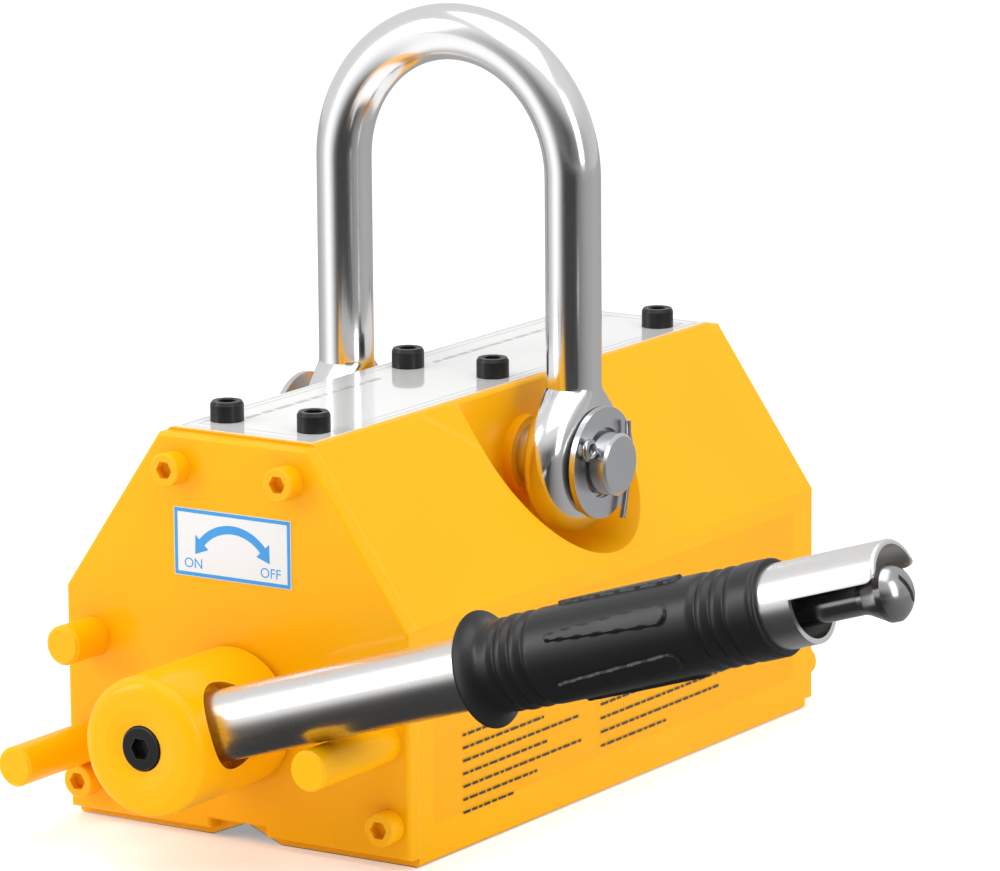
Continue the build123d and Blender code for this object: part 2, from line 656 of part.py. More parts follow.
# ---------------------------------------------------------------- shackle
def shackle_half():
    """Right leg, eye and quarter of the bow, about the shackle's own centre plane."""
    rim = make_face(Line((-eye_half, 0), (-eye_half, eye_flat_r))
                    + ThreePointArc((-eye_half, eye_flat_r), (-eye_half * 0.62, eye_r - 1.6), (0, eye_r))
                    + ThreePointArc((0, eye_r), (eye_half * 0.62, eye_r - 1.6), (eye_half, eye_flat_r))
                    + Line((eye_half, eye_flat_r), (eye_half, 0)) + Line((eye_half, 0), (-eye_half, 0)))
    eye = Pos(shackle_half_span, 0, lift_z) * revolve(rim, axis=Axis.X)
    leg = rod_z(shackle_rod_r, lift_z, shackle_bow_z, shackle_half_span)
    neck = eye + leg
    return neck


bow_ring = Pos(shackle_half_span, 0, shackle_bow_z) * Circle(shackle_rod_r)
bow = revolve(bow_ring, axis=Axis((0, 0, shackle_bow_z), (0, -1, 0)), revolution_arc=180)
shackle = bow
for half in mirrored(shackle_half()):
    shackle += half
shackle -= rod_x(lift_pin_r + running, -half_width, half_width, z=lift_z)
save("shackle", Pos(shackle_play, 0, 0) * shackle)
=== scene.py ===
"""Permanent lifting magnet: the looks of its painted body, steel shackle and hand lever.

Everything is in metres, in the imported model's own frame: the lifting face is at z = 0,
the lever side faces -Y, and +X is to the right as seen from the lever.
"""
import json
import math

import bmesh
import bpy
from mathutils import Matrix, Vector


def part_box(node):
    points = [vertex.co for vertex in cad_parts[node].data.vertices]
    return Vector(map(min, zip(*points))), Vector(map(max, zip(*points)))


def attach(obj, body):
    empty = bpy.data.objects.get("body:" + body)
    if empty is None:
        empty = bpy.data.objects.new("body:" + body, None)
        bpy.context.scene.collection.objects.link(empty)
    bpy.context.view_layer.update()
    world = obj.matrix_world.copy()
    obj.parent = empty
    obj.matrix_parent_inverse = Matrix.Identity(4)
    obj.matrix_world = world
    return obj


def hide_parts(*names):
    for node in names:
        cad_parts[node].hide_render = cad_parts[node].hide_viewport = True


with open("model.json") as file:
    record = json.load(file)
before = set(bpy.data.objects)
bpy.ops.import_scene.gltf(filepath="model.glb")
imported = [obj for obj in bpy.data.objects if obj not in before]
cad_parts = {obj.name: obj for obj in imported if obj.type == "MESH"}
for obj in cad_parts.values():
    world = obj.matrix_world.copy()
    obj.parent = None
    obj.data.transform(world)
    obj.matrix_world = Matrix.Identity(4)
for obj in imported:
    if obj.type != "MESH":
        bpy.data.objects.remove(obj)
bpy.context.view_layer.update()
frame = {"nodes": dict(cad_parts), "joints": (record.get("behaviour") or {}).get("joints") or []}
cad = frame["nodes"]
joints = {joint["name"]: joint for joint in frame["joints"]}
mm = 0.001

# ------------------------------------------------------------------ studio
# A plain pale table top, a large soft light over it, two side lights, and a bright room.
# Only reflections see the shade card on the table: polished steel needs something dark to show.


def add(tree, kind, inputs=None, **settings):
    """Add a node, set its properties, then set or wire its inputs."""
    node = tree.nodes.new(kind)
    for key, value in settings.items():
        setattr(node, key, value)
    for key, value in (inputs or {}).items():
        if isinstance(value, bpy.types.NodeSocket):
            tree.links.new(value, node.inputs[key])
        else:
            node.inputs[key].default_value = value
    return node


def ramp(tree, value, *stops):
    """Colour ramp with (position, grey or colour) stops; returns its colour socket."""
    node = add(tree, "ShaderNodeValToRGB", {"Fac": value})
    elements = node.color_ramp.elements
    while len(elements) < len(stops):
        elements.new(0.5)
    for element, (position, colour) in zip(elements, stops):
        element.position = position
        element.color = (*colour, 1) if isinstance(colour, tuple) else (colour, colour, colour, 1)
    return node.outputs["Color"]


def soft_light(name, place, target, width, height, power):
    """Rectangular studio light aimed at a point."""
    data = bpy.data.lights.new(name, "AREA")
    data.shape = "RECTANGLE"
    data.size = width
    data.size_y = height
    data.energy = power
    light = bpy.data.objects.new(name, data)
    bpy.context.scene.collection.objects.link(light)
    light.location = place
    light.rotation_euler = (Vector(place) - Vector(target)).to_track_quat("Z", "Y").to_euler()


def studio_sheet(name, bm, base_colour, roughness, specular):
    """Flat piece of the studio with a plain material of its own."""
    mesh = bpy.data.meshes.new(name)
    bm.to_mesh(mesh)
    bm.free()
    sheet = bpy.data.objects.new(name, mesh)
    bpy.context.scene.collection.objects.link(sheet)
    material = bpy.data.materials.new(name)
    material.use_nodes = True
    shader = material.node_tree.nodes["Principled BSDF"]
    shader.inputs["Base Color"].default_value = (*base_colour, 1)
    shader.inputs["Roughness"].default_value = roughness
    shader.inputs["Specular IOR Level"].default_value = specular
    mesh.materials.append(material)
    return sheet


view_azimuth = math.radians(33.02)
view_elevation = math.radians(11.56)
view_roll = math.radians(-0.47)
view_distance = 1.91451
view_target = Vector((0.01570, 0, 0.10679))
back = Vector((
    math.sin(view_azimuth) * math.cos(view_elevation),
    -math.cos(view_azimuth) * math.cos(view_elevation),
    math.sin(view_elevation)))
right = Vector((math.cos(view_azimuth), math.sin(view_azimuth), 0))
up = back.cross(right)
rolled_right = math.cos(view_roll) * right + math.sin(view_roll) * up
rolled_up = back.cross(rolled_right)
camera_data = bpy.data.cameras.new("studio_camera")
camera_data.sensor_width = 36
camera_data.lens = 226.06
camera_data.shift_x = 0.00625
camera_data.shift_y = -0.01005
camera = bpy.data.objects.new("studio_camera", camera_data)
bpy.context.scene.collection.objects.link(camera)
camera.matrix_world = Matrix.Translation(view_target + back * view_distance) @ Matrix(
    (rolled_right, rolled_up, back)).transposed().to_4x4()
bpy.context.scene.camera = camera
bpy.context.scene.view_settings.view_transform = "Standard"

table_bm = bmesh.new()
bmesh.ops.create_grid(table_bm, x_segments=1, y_segments=1, size=6)
bmesh.ops.translate(table_bm, verts=table_bm.verts, vec=(0, 0, -0.1 * mm))
table_top = studio_sheet("table_top", table_bm, (0.86, 0.86, 0.86), 0.9, 0.1)
table_shader = table_top.active_material.node_tree.nodes["Principled BSDF"]
table_shader.inputs["Emission Color"].default_value = (1, 1, 1, 1)
table_shader.inputs["Emission Strength"].default_value = 0.3

room = bpy.data.worlds.new("studio_room")
bpy.context.scene.world = room
room.use_nodes = True
room_tree = room.node_tree
direction = add(room_tree, "ShaderNodeTexCoord").outputs["Generated"]


def around_view(tree, place):
    """Share of a turn round the Z axis, 0.5 towards the camera and rising to its right."""
    turn = (0, 0, math.radians(90) - view_azimuth)
    turned = add(tree, "ShaderNodeMapping", {"Vector": place, "Rotation": turn})
    return add(tree, "ShaderNodeTexGradient", {"Vector": turned.outputs["Vector"]},
               gradient_type="RADIAL").outputs["Fac"]


# grey levels of the card and of the walls, from behind the object by its left, the camera
# and its right
shades = (
    (0.0, 0.40), (0.15, 0.50), (0.22, 0.72), (0.27, 1.2), (0.31, 1.25), (0.35, 0.7), (0.385, 0.16),
    (0.42, 0.05), (0.53, 0.05), (0.565, 0.2), (0.61, 0.3), (0.67, 0.4), (0.76, 0.47), (1.0, 0.40))
wall_shades = (
    (0.0, 0.95), (0.28, 1.0), (0.40, 0.25), (0.50, 0.12), (0.60, 0.35), (0.75, 0.75), (1.0, 0.95))
walls = ramp(room_tree, around_view(room_tree, direction), *wall_shades)
height = add(room_tree, "ShaderNodeSeparateXYZ", {"Vector": direction}).outputs["Z"]
overhead = ramp(room_tree, height, (0.25, 0.0), (0.6, 1.0))
lit_room = add(room_tree, "ShaderNodeMix", {0: overhead, 6: walls, 7: (1.0, 1.0, 1.0, 1)},
               data_type="RGBA")
seen = add(room_tree, "ShaderNodeLightPath").outputs["Is Camera Ray"]
shown_room = add(room_tree, "ShaderNodeMix", {0: seen, 6: lit_room.outputs[2], 7: (1.2, 1.2, 1.2, 1)},
                 data_type="RGBA")
room_light = room_tree.nodes["Background"]
room_tree.links.new(shown_room.outputs[2], room_light.inputs["Color"])
room_light.inputs["Strength"].default_value = 0.8

card_bm = bmesh.new()
bmesh.ops.create_circle(card_bm, segments=64, radius=5, cap_ends=True)
shade_card = studio_sheet("shade_card", card_bm, (0, 0, 0), 1.0, 0.0)
for sight in ("camera", "diffuse", "transmission", "volume_scatter", "shadow"):
    setattr(shade_card, "visible_" + sight, False)
card_tree = shade_card.active_material.node_tree
card_shader = card_tree.nodes["Principled BSDF"]
card_shader.inputs["Emission Strength"].default_value = 1.0
card_place = add(card_tree, "ShaderNodeTexCoord").outputs["Object"]
card_shades = ramp(card_tree, around_view(card_tree, card_place), *shades)
card_tree.links.new(card_shades, card_shader.inputs["Emission Color"])

aim = (0, 0, 0.08)
soft_light("top_light", (0.1, -0.2, 1.3), aim, 1.2, 1.2, 8)
soft_light("left_light", (-1.1, -1.1, 0.8), aim, 0.5, 1.2, 9)
soft_light("right_light", (1.3, -0.3, 0.7), aim, 0.4, 1.0, 5)

# ------------------------------------------------------------------ painted body
# Two machined poles with end covers, pins and the lever hub, all sprayed with glossy amber paint.
# The lifting face and its V-groove are ground bare after painting.


def new_group(name, inputs, outputs):
    """Shader node group with named (name, socket type, value) inputs and (name, type) outputs."""
    tree = bpy.data.node_groups.new(name, "ShaderNodeTree")
    for socket_name, kind, value in inputs:
        socket = tree.interface.new_socket(socket_name, in_out="INPUT", socket_type=kind)
        socket.default_value = value
    for socket_name, kind in outputs:
        tree.interface.new_socket(socket_name, in_out="OUTPUT", socket_type=kind)
    return tree, tree.nodes.new("NodeGroupInput").outputs, tree.nodes.new("NodeGroupOutput")


def use(tree, group, **inputs):
    """Place a node group in a material with its own values; returns its outputs."""
    return add(tree, "ShaderNodeGroup", {key.replace("_", " "): value for key, value in inputs.items()},
               node_tree=group).outputs


def maths(tree, operation, *values):
    """Math node; returns its value socket."""
    return add(tree, "ShaderNodeMath", dict(enumerate(values)), operation=operation).outputs[0]


# mottle: soft uneven patches and a fine surface height, for any sprayed, cast or moulded skin
mottle, given, result = new_group(
    "mottle",
    [("Patch Scale", "NodeSocketFloat", 20.0), ("Grain Scale", "NodeSocketFloat", 700.0)],
    [("Patches", "NodeSocketFloat"), ("Grain", "NodeSocketFloat")])
place = add(mottle, "ShaderNodeTexCoord").outputs["Object"]
patches = add(mottle, "ShaderNodeTexNoise", {"Vector": place, "Scale": given["Patch Scale"], "Detail": 4})
grain = add(mottle, "ShaderNodeTexNoise", {"Vector": place, "Scale": given["Grain Scale"], "Detail": 3})
mottle.links.new(patches.outputs[0], result.inputs["Patches"])
mottle.links.new(grain.outputs[0], result.inputs["Grain"])

# edge mask: 1 along sharp edges, broken up by noise; it lightens edges as a painted edge highlight, which
# on metal also stands for rubbed wear
edge_highlight_and_wear, given, result = new_group(
    "edge_highlight_and_wear", [("Width", "NodeSocketFloat", 0.0006)], [("Edge", "NodeSocketFloat")])
bent = add(edge_highlight_and_wear, "ShaderNodeBevel", {"Radius": given["Width"]}, samples=6).outputs["Normal"]
flat = add(edge_highlight_and_wear, "ShaderNodeNewGeometry").outputs["Normal"]
agree = add(edge_highlight_and_wear, "ShaderNodeVectorMath", {0: bent, 1: flat}, operation="DOT_PRODUCT")
rim = add(edge_highlight_and_wear, "ShaderNodeMapRange",
          {"Value": agree.outputs["Value"], 1: 0.995, 2: 0.90, 3: 0.0, 4: 1.0}).outputs["Result"]
place = add(edge_highlight_and_wear, "ShaderNodeTexCoord").outputs["Object"]
breaks = add(edge_highlight_and_wear, "ShaderNodeTexNoise", {"Vector": place, "Scale": 260.0, "Detail": 4}).outputs[0]
edge_highlight_and_wear.links.new(maths(edge_highlight_and_wear, "MULTIPLY", rim, breaks), result.inputs["Edge"])


def finish(name, colour, metallic, roughness, **sockets):
    """Material with its Principled shader set up; returns material, node tree and shader."""
    material = bpy.data.materials.new(name)
    material.use_nodes = True
    shader = material.node_tree.nodes["Principled BSDF"]
    shader.inputs["Base Color"].default_value = (*colour, 1)
    shader.inputs["Metallic"].default_value = metallic
    shader.inputs["Roughness"].default_value = roughness
    for key, value in sockets.items():
        shader.inputs[key.replace("_", " ")].default_value = value
    return material, material.node_tree, shader


def blend_colour(tree, share, low, high):
    """Colour between two colours or sockets."""
    low, high = ((*c, 1) if isinstance(c, tuple) else c for c in (low, high))
    return add(tree, "ShaderNodeMix", {0: share, 6: low, 7: high}, data_type="RGBA").outputs[2]


def blend_value(tree, share, low, high):
    """Number between two numbers or sockets."""
    return add(tree, "ShaderNodeMix", {0: share, 2: low, 3: high}, data_type="FLOAT").outputs[0]


def raise_surface(tree, shader, height, depth):
    """Bump of a given depth in metres from a 0 to 1 height."""
    bump = add(tree, "ShaderNodeBump", {"Height": height, "Strength": 1.0, "Distance": depth})
    tree.links.new(bump.outputs["Normal"], shader.inputs["Normal"])


def dress(material, *names):
    """Give CAD nodes a material."""
    for name in names:
        slots = cad[name].data.materials
        slots.clear()
        slots.append(material)


amber = (0.97, 0.475, 0.001)
amber_deep = (0.93, 0.42, 0.001)
amber_edge_highlight = (1.0, 0.60, 0.10)
ground_steel = (0.46, 0.46, 0.47)
vee_depth = 5 * mm
vee_slope = vee_depth / (12.5 * mm)
bare_margin = 0.25 * mm


def amber_paint(name, bare_foot):
    """Sprayed paint with a light orange peel and a paler painted highlight along sharp edges; bare_foot
    leaves the lifting face ground steel.
    """
    material, tree, shader = finish(
        name, amber, 0.0, 0.32, Specular_IOR_Level=0.12, Coat_Weight=0.16, Coat_Roughness=0.06)
    skin = use(tree, mottle, Patch_Scale=14.0, Grain_Scale=520.0)
    edge_sheen_and_wear = use(tree, edge_highlight_and_wear, Width=0.7 * mm)["Edge"]
    colour = blend_colour(tree, skin["Patches"], amber, amber_deep)
    # paler amber along sharp edges: a painted edge highlight
    colour = blend_colour(tree, maths(tree, "MULTIPLY", edge_sheen_and_wear, 0.7), colour, amber_edge_highlight)
    roughness = blend_value(tree, skin["Patches"], 0.26, 0.38)
    if bare_foot:
        spot = add(tree, "ShaderNodeTexCoord").outputs["Object"]
        place = add(tree, "ShaderNodeSeparateXYZ", {"Vector": spot})
        drop = maths(tree, "MULTIPLY", maths(tree, "ABSOLUTE", place.outputs["X"]), vee_slope)
        groove = maths(tree, "MAXIMUM", maths(tree, "SUBTRACT", vee_depth, drop), 0.0)
        bare = maths(tree, "LESS_THAN", place.outputs["Z"], maths(tree, "ADD", groove, bare_margin))
        colour = blend_colour(tree, bare, colour, ground_steel)
        roughness = blend_value(tree, bare, roughness, 0.36)
        tree.links.new(bare, shader.inputs["Metallic"])
    tree.links.new(colour, shader.inputs["Base Color"])
    tree.links.new(roughness, shader.inputs["Roughness"])
    raise_surface(tree, shader, skin["Grain"], 0.012 * mm)
    return material


paint = amber_paint("amber_paint", False)
body_paint = amber_paint("amber_paint_body", True)
dress(body_paint, "pole_shoe_right", "pole_shoe_left", "pole_gap_bar")
dress(paint, "front_cover", "rear_cover", "top_plate", "off_stop_pin", "on_stop_pin", "lock_plunger",
      "hub", "pin_bushes")

# ------------------------------------------------------------------ magnets and rotor
# Inside the body: a fixed magnet, a rotor of two poles round its own magnet, and what carries it.
# Plated magnets, turned steel, bronze bushes and a rubber shaft seal.

# turning: fine lathe or grinding lines across a direction, as a 0 to 1 height
turning, given, result = new_group(
    "turning",
    [("Axis", "NodeSocketVector", (1, 0, 0)), ("Lines", "NodeSocketFloat", 4000.0)],
    [("Height", "NodeSocketFloat")])
place = add(turning, "ShaderNodeTexCoord").outputs["Object"]
along = add(turning, "ShaderNodeVectorMath", {0: place, 1: given["Axis"]}, operation="DOT_PRODUCT")
line_place = maths(turning, "MULTIPLY", along.outputs["Value"], given["Lines"])
lines = add(turning, "ShaderNodeTexNoise", {"W": line_place, "Scale": 1.0, "Detail": 3},
            noise_dimensions="1D")
turning.links.new(lines.outputs[0], result.inputs["Height"])


def metal(name, colour, roughness, axis=None, spread=0.06, depth=0.004 * mm, edge=0.5):
    """Bare or plated metal: uneven polish, lighter edges as a painted edge highlight and rubbed wear, and
    turning lines when an axis is given.
    """
    material, tree, shader = finish(name, colour, 1.0, roughness)
    skin = use(tree, mottle, Patch_Scale=60.0, Grain_Scale=1500.0)
    edge_sheen_and_wear = use(tree, edge_highlight_and_wear, Width=0.4 * mm)["Edge"]
    # lighter colour along sharp edges: painted edge highlight and rubbed wear
    bright = tuple(min(1.0, channel * 1.25 + 0.08) for channel in colour)
    tree.links.new(blend_colour(tree, maths(tree, "MULTIPLY", edge_sheen_and_wear, edge), colour, bright),
                   shader.inputs["Base Color"])
    tree.links.new(blend_value(tree, skin["Patches"], roughness - spread, roughness + spread),
                   shader.inputs["Roughness"])
    height = use(tree, turning, Axis=axis, Lines=5000.0)["Height"] if axis else skin["Grain"]
    raise_surface(tree, shader, height, depth)
    return material


turned_steel = metal("turned_steel", (0.55, 0.55, 0.56), 0.32, axis=(0, 1, 0))
bare_steel = metal("bare_steel", (0.42, 0.42, 0.43), 0.42)
plated_magnet = metal("plated_magnet", (0.62, 0.60, 0.56), 0.22)
bronze = metal("bronze_bush", (0.72, 0.42, 0.17), 0.34, axis=(0, 1, 0))
stainless = metal("spring_wire", (0.60, 0.60, 0.62), 0.28)
dress(bare_steel, "pole_spacer", "front_bearing_carrier", "rear_bearing_carrier", "hub_key",
      "rotor_screws")
dress(turned_steel, "rotor_front_end", "rotor_rear_end", "rotor_pole_right", "rotor_pole_left",
      "thrust_washers")
dress(plated_magnet, "fixed_magnet", "rotor_magnet")
dress(bronze, "front_shaft_bush", "rear_shaft_bush", "latch_guide")
dress(stainless, "plunger_spring", "latch_spring")

seal_rubber, tree, shader = finish("seal_rubber", (0.012, 0.012, 0.013), 0.0, 0.5)
skin = use(tree, mottle, Patch_Scale=80.0, Grain_Scale=1800.0)
tree.links.new(blend_value(tree, skin["Patches"], 0.4, 0.62), shader.inputs["Roughness"])
raise_surface(tree, shader, skin["Grain"], 0.01 * mm)
dress(seal_rubber, "shaft_seal")

# ------------------------------------------------------------------ labels
# A glossy printed plate on top, a small switch label on the front cover, and a clear printed
# film on the right side. The print stands a few hundredths of a millimetre proud.
print_height = 0.04 * mm


def label_film(name, colour, alpha):
    """Thin glossy plastic film."""
    material, tree, shader = finish(name, colour, 0.0, 0.12, Coat_Weight=1.0, Coat_Roughness=0.015)
    skin = use(tree, mottle, Patch_Scale=25.0, Grain_Scale=90.0)
    darker = tuple(channel * 0.96 for channel in colour)
    tree.links.new(blend_colour(tree, skin["Patches"], colour, darker), shader.inputs["Base Color"])
    raise_surface(tree, shader, skin["Grain"], 0.01 * mm)
    shader.inputs["Alpha"].default_value = alpha
    return material


def ink(name, colour):
    """Printed ink, slightly uneven."""
    material, tree, shader = finish(name, colour, 0.0, 0.3, Coat_Weight=0.6, Coat_Roughness=0.05)
    skin = use(tree, mottle, Patch_Scale=300.0, Grain_Scale=2500.0)
    paler = tuple(min(1.0, channel * 1.2 + 0.01) for channel in colour)
    tree.links.new(blend_colour(tree, skin["Patches"], colour, paler), shader.inputs["Base Color"])
    return material


top_film = label_film("top_film", (0.93, 0.93, 0.92), 1.0)
switch_film = label_film("switch_film", (0.80, 0.82, 0.84), 1.0)
clear_film = label_film("clear_film", (0.97, 0.50, 0.03), 0.05)
dress(top_film, "top_label")
dress(switch_film, "switch_label")
dress(clear_film, "side_label")
blue_ink = ink("blue_ink", (0.010, 0.27, 0.68))
dark_ink = ink("dark_ink", (0.035, 0.028, 0.02))
grey_ink = ink("grey_ink", (0.40, 0.39, 0.37))


def new_piece(name, bm, body, material, smooth_under=35):
    """Make a bmesh an object that rides on a body; faces that meet below an angle shade smooth."""
    mesh = bpy.data.meshes.new(name)
    bmesh.ops.recalc_face_normals(bm, faces=bm.faces)
    bm.to_mesh(mesh)
    bm.free()
    mesh.materials.append(material)
    mesh.shade_smooth()
    mesh.set_sharp_from_angle(angle=math.radians(smooth_under))
    obj = bpy.data.objects.new(name, mesh)
    bpy.context.scene.collection.objects.link(obj)
    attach(obj, body)
    return obj


def add_bar(bm, x, y, width, height):
    """One printed bar, centred at (x, y) in the label's plane."""
    size = Matrix.Diagonal((width, height, print_height, 1))
    bmesh.ops.create_cube(bm, size=1, matrix=Matrix.Translation((x, y, print_height / 2)) @ size)


def add_frame(bm, width, height, line):
    """Printed rectangle outline centred on the label."""
    for side in (1, -1):
        add_bar(bm, 0, side * (height - line) / 2, width, line)
        add_bar(bm, side * (width - line) / 2, 0, line, height - 2 * line)


def lift_flat(bm, faces):
    """Give flat printed faces their thickness."""
    made = bmesh.ops.extrude_face_region(bm, geom=faces)
    tops = [item for item in made["geom"] if isinstance(item, bmesh.types.BMVert)]
    bmesh.ops.translate(bm, verts=tops, vec=(0, 0, print_height))


def add_arrow(bm, radius, line, half_angle, head):
    """Double-ended arc arrow that bulges upwards, centred on the arc's own centre."""
    upright = math.radians(90)
    head_half = head * 0.62
    first = bm.verts.new((radius + line / 2, 0, 0))
    second = bm.verts.new((radius - line / 2, 0, 0))
    edge = bm.edges.new((first, second))
    start = Matrix.Rotation(upright - half_angle, 3, "Z")
    bmesh.ops.rotate(bm, verts=(first, second), matrix=start)
    bmesh.ops.spin(bm, geom=[edge, first, second], cent=(0, 0, 0), axis=(0, 0, 1),
                   angle=2 * half_angle, steps=32)
    faces = list(bm.faces)
    for side in (1, -1):
        tip_angle = upright - side * (half_angle + head / radius * 0.9)
        root_angle = upright - side * half_angle
        corners = [(radius, tip_angle), (radius + head_half, root_angle), (radius - head_half, root_angle)]
        faces.append(bm.faces.new(
            [bm.verts.new((reach * math.cos(turn), reach * math.sin(turn), 0)) for reach, turn in corners]))
    lift_flat(bm, faces)


def add_word(bm, word, x, y, size):
    """Generic switch word, centred at (x, y)."""
    curve = bpy.data.curves.new(word, "FONT")
    curve.body = word
    curve.size = size
    curve.align_x = "CENTER"
    curve.align_y = "CENTER"
    curve.extrude = print_height / 2
    shape = bpy.data.objects.new(word, curve)
    mesh = bpy.data.meshes.new_from_object(shape)
    mesh.transform(Matrix.Translation((x, y, print_height / 2)))
    bm.from_mesh(mesh)
    bpy.data.objects.remove(shape)


def stand_on(bm, centre, across, upward):
    """Move a print drawn in the XY plane onto a label face."""
    outward = across.cross(upward)
    turn = Matrix((across, upward, outward)).transposed().to_4x4()
    bmesh.ops.transform(bm, matrix=Matrix.Translation(centre) @ turn, verts=bm.verts)


low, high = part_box("switch_label")
switch_width = high.x - low.x
switch_height = high.z - low.z
bm = bmesh.new()
add_frame(bm, switch_width - 0.4 * mm, switch_height - 0.4 * mm, 1.1 * mm)
word_drop = switch_height * 0.31
add_word(bm, "ON", -switch_width * 0.335, -word_drop, 4.2 * mm)
add_word(bm, "OFF", switch_width * 0.325, -word_drop, 4.2 * mm)
arrow_bm = bmesh.new()
add_arrow(arrow_bm, 14.6 * mm, 2.5 * mm, math.radians(48), 5.0 * mm)
bmesh.ops.translate(arrow_bm, verts=arrow_bm.verts, vec=(0, -9.4 * mm, 0))
arrow_mesh = bpy.data.meshes.new("arrow")
arrow_bm.to_mesh(arrow_mesh)
arrow_bm.free()
bm.from_mesh(arrow_mesh)
stand_on(bm, Vector((0, low.y, (low.z + high.z) / 2)), Vector((1, 0, 0)), Vector((0, 0, 1)))
new_piece("switch_print", bm, "housing", blue_ink)


def add_rows(bm, left, top, row_lengths, pitch, thickness, word=3.0 * mm, gap=0.9 * mm):
    """Rows of short bars that stand for a block of small print, without any letters."""
    for row, length in enumerate(row_lengths):
        x = left
        step = 0
        while x < left + length:
            bar = word * (0.6 + 0.8 * ((step * 7 + row * 5) % 11) / 10)
            bar = min(bar, left + length - x)
            if bar > gap:
                add_bar(bm, x + bar / 2, top - row * pitch, bar, thickness)
            x += bar + gap
            step += 1


low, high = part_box("side_label")
side_height = high.z - low.z
bm = bmesh.new()
add_rows(bm, -88 * mm, 0, [v * mm for v in (22, 44, 64, 46, 66, 40, 27)], 3.9 * mm, 0.8 * mm)
add_rows(bm, -12 * mm, 1.5 * mm, [v * mm for v in (80, 46, 88, 92, 70, 38)], 4.3 * mm, 0.8 * mm)
stand_on(bm, Vector((high.x, 0, low.z + side_height * 0.43)), Vector((0, 1, 0)), Vector((0, 0, 1)))
new_piece("side_print", bm, "housing", dark_ink)

low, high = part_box("top_label")
top_length = high.y - low.y
top_label_width = high.x - low.x
bm = bmesh.new()
add_frame(bm, top_length - 3 * mm, top_label_width - 2.6 * mm, 0.3 * mm)
add_frame(bm, top_length - 12 * mm, top_label_width - 8 * mm, 0.25 * mm)
for left in (-96 * mm, 10 * mm):
    add_rows(bm, left, 12.5 * mm, [76 * mm], 1, 1.8 * mm, word=6 * mm, gap=1.8 * mm)
stand_on(bm, Vector((0, 0, high.z)), Vector((0, 1, 0)), Vector((-1, 0, 0)))
new_piece("top_print", bm, "housing", grey_ink)

# ------------------------------------------------------------------ socket screws
# Hexagon socket cap screws: black ones hold the top plate and the hub, and those of the covers
# were painted over with the body.


def loop_up(bm, loop, rise, scale=1.0):
    """Extrude an edge loop upwards, scale the new loop about the Z axis, and return it."""
    made = bmesh.ops.extrude_edge_only(bm, edges=loop)["geom"]
    verts = [item for item in made if isinstance(item, bmesh.types.BMVert)]
    bmesh.ops.translate(bm, verts=verts, vec=(0, 0, rise))
    if scale != 1.0:
        bmesh.ops.scale(bm, verts=verts, vec=(scale, scale, 1))
    return [item for item in made if isinstance(item, bmesh.types.BMEdge)]


def cap_head(radius, height, flats):
    """Finely toothed head of a cap screw, standing on the origin, with its socket facing +Z."""
    teeth = 40
    tooth_root = 0.985
    bm = bmesh.new()
    foot = bmesh.ops.create_circle(bm, segments=2 * teeth, radius=radius, cap_ends=False)["verts"]
    for vert in foot[1::2]:
        vert.co *= tooth_root
    loop = loop_up(bm, list(bm.edges), height * 0.84)
    loop = loop_up(bm, loop, 0.02 * height, 0.985)
    loop = loop_up(bm, loop, height * 0.14, 0.90)
    rim = loop_up(bm, loop, 0, flats * 0.62 / radius / 0.885)
    mouth_r = flats / math.sqrt(3)
    mouth = bmesh.ops.create_circle(bm, segments=6, radius=mouth_r, cap_ends=False)["verts"]
    mouth_z = height * 0.97
    bmesh.ops.translate(bm, verts=mouth, vec=(0, 0, mouth_z))
    sides = list({edge for vert in mouth for edge in vert.link_edges})
    bmesh.ops.subdivide_edges(bm, edges=sides, cuts=2)
    hex_edges = [edge for edge in bm.edges
                 if all(abs(vert.co.z - mouth_z) < 1e-7 for vert in edge.verts)]
    bmesh.ops.bridge_loops(bm, edges=rim + hex_edges)
    floor = loop_up(bm, hex_edges, -height * 0.55)
    cone = loop_up(bm, floor, -height * 0.06, 0.15)
    bmesh.ops.contextual_create(bm, geom=cone)
    foot_edges = [edge for edge in bm.edges if all(vert in foot for vert in edge.verts)]
    bmesh.ops.contextual_create(bm, geom=foot_edges)
    return bm


oxide_black = (0.022, 0.021, 0.021)
black_oxide, tree, shader = finish("black_oxide", oxide_black, 0.6, 0.36)
skin = use(tree, mottle, Patch_Scale=150.0, Grain_Scale=2600.0)
edge_sheen_and_wear = use(tree, edge_highlight_and_wear, Width=0.3 * mm)["Edge"]
# lighter edges on the black oxide: rubbed wear and a painted edge highlight
tree.links.new(blend_colour(tree, edge_sheen_and_wear, oxide_black, (0.22, 0.21, 0.20)), shader.inputs["Base Color"])
tree.links.new(blend_value(tree, skin["Patches"], 0.28, 0.46), shader.inputs["Roughness"])
raise_surface(tree, shader, skin["Grain"], 0.006 * mm)


def place_heads(name, node, body, spots, head, material):
    """Upright copies of one screw head at several spots, standing for a CAD node of screws."""
    mesh = bpy.data.meshes.new(name)
    head.to_mesh(mesh)
    bm = bmesh.new()
    for spot in spots:
        copy = mesh.copy()
        copy.transform(Matrix.Translation(spot))
        bm.from_mesh(copy)
        bpy.data.meshes.remove(copy)
    bpy.data.meshes.remove(mesh)
    screws = new_piece(name, bm, body, material, smooth_under=30)
    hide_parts(node)


low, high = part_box("top_label")
seat_z = high.z
low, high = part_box("top_screws")
m6_head_r = 5 * mm
m6_head_height = 6 * mm
m6_flats = 5 * mm
column = high.x - m6_head_r
row = high.y - m6_head_r
spots = [Vector((side * column, step * row, seat_z)) for side in (1, -1) for step in (-1, 0, 1)]
place_heads("top_cap_screws", "top_screws", "housing", spots,
            cap_head(m6_head_r, m6_head_height, m6_flats), black_oxide)
dress(paint, "front_cover_screws", "rear_cover_screws")
dress(black_oxide, "hub_screw")

